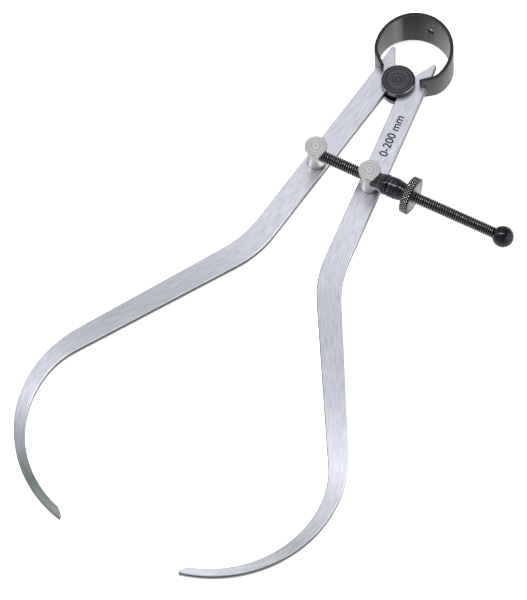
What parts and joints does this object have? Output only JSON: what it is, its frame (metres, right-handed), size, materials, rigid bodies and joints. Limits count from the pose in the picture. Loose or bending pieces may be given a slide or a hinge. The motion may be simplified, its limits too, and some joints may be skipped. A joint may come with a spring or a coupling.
{
  "type": "spring caliper",
  "caption": "Outside spring caliper: hooked flat legs rock on a round spool under a bow spring and are set by a knurled nut on a ball-ended cross screw.",
  "frame": {"origin": "middle of the hang hole at the top of the bow, level with the middle of the legs' thickness", "axes": "+Y from the legs toward the bow, along the hang hole; +X along the cross screw toward its ball; +Z square to the legs, toward the heads of the posts"},
  "size_m": [0.1214, 0.2239, 0.0222],
  "materials": {
    "leg_steel": "satin ground steel, grinding lines along the legs",
    "post_steel": "bright turned steel",
    "spring_steel": "satin blackened spring steel",
    "black_oxide": "black oxide on turned steel"
  },
  "bodies": {
    "fulcrum": {"fulcrum_spool": "black_oxide", "bow_spring": "spring_steel"},
    "left_leg": {"left_leg": "leg_steel"},
    "right_leg": {"right_leg": "leg_steel"},
    "left_swivel": {"left_post": "post_steel", "adjusting_screw": "black_oxide"},
    "right_swivel": {"right_post": "post_steel", "thrust_collar": "black_oxide"},
    "nut": {"adjusting_nut": "black_oxide"}
  },
  "joints": [
    {"name": "left_leg_swing", "type": "hinge", "parent": "fulcrum", "child": "left_leg", "pos_m": [0, -0.02453, 0], "axis": [0, 0, -1], "range_deg": [-6.4, 21.5], "deforming": ["bow_spring"]},
    {"name": "right_leg_swing", "type": "hinge", "parent": "fulcrum", "child": "right_leg", "pos_m": [0, -0.02453, 0], "axis": [0, 0, 1], "range_deg": [-6.4, 21.5], "deforming": ["bow_spring"]},
    {"name": "left_post_swivel", "type": "hinge", "parent": "left_leg", "child": "left_swivel", "pos_m": [-0.01018, -0.06464, 0], "axis": [0, 0, 1], "range_deg": [-6.4, 21.5]},
    {"name": "right_post_swivel", "type": "hinge", "parent": "right_leg", "child": "right_swivel", "pos_m": [0.01018, -0.06464, 0], "axis": [0, 0, -1], "range_deg": [-6.4, 21.5]},
    {"name": "nut_spin", "type": "hinge", "parent": "right_swivel", "child": "nut", "pos_m": [0.01018, -0.06464, 0.00725], "axis": [1, 0, 0], "range_deg": [-4030, 13540], "deforming": ["bow_spring"]}
  ],
  "couplings": [
    {"joint": "left_leg_swing", "follows": "nut_spin", "ratio": 0.001587},
    {"joint": "right_leg_swing", "follows": "nut_spin", "ratio": 0.001587},
    {"joint": "left_post_swivel", "follows": "nut_spin", "ratio": 0.001587},
    {"joint": "right_post_swivel", "follows": "nut_spin", "ratio": 0.001587}
  ]
}
